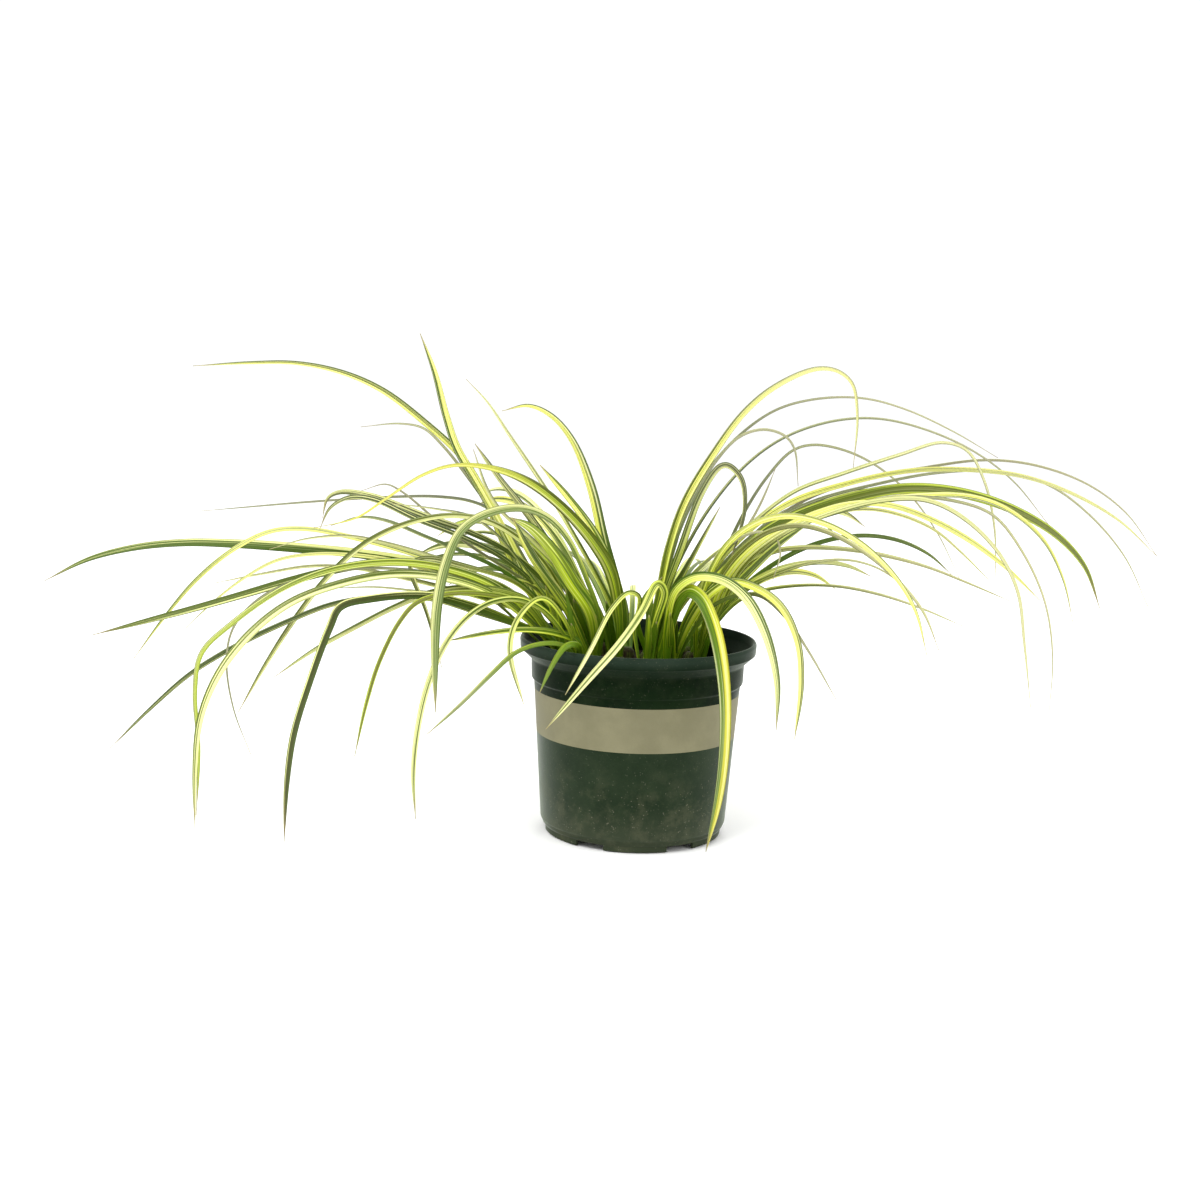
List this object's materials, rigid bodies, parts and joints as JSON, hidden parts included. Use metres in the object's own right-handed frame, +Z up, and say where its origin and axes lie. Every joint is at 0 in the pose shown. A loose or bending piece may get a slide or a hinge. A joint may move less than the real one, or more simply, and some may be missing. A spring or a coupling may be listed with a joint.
{
  "type": "potted sweet flag",
  "caption": "Nursery pot filled with soil, holding two tufts of long arching striped grass-like leaves that hang over its rim.",
  "frame": {"origin": "middle of the plant's spread, on the surface that the pot stands on", "axes": "+Z up, +X along the plant's widest spread, -Y towards the side that the picture shows"},
  "size_m": [0.8218, 0.3716, 0.3419],
  "materials": {
    "pot_plastic": "matte",
    "potting_mix": "matte",
    "leaf": "satin"
  },
  "bodies": {
    "root": {"nursery_pot": "pot_plastic", "potting_soil": "potting_mix", "leaf_fan_left_1": "leaf", "leaf_fan_left_2": "leaf", "leaf_fan_left_3": "leaf", "leaf_fan_left_4": "leaf", "leaf_fan_left_5": "leaf", "leaf_fan_left_6": "leaf", "leaf_fan_left_7": "leaf", "leaf_fan_right_1": "leaf", "leaf_fan_right_2": "leaf", "leaf_fan_right_3": "leaf", "leaf_fan_right_4": "leaf", "leaf_fan_right_5": "leaf", "leaf_fan_right_6": "leaf", "leaf_fan_right_7": "leaf", "leaf_fan_back_1": "leaf", "leaf_fan_back_2": "leaf", "leaf_fan_back_3": "leaf", "leaf_fan_back_4": "leaf"}
  },
  "joints": []
}
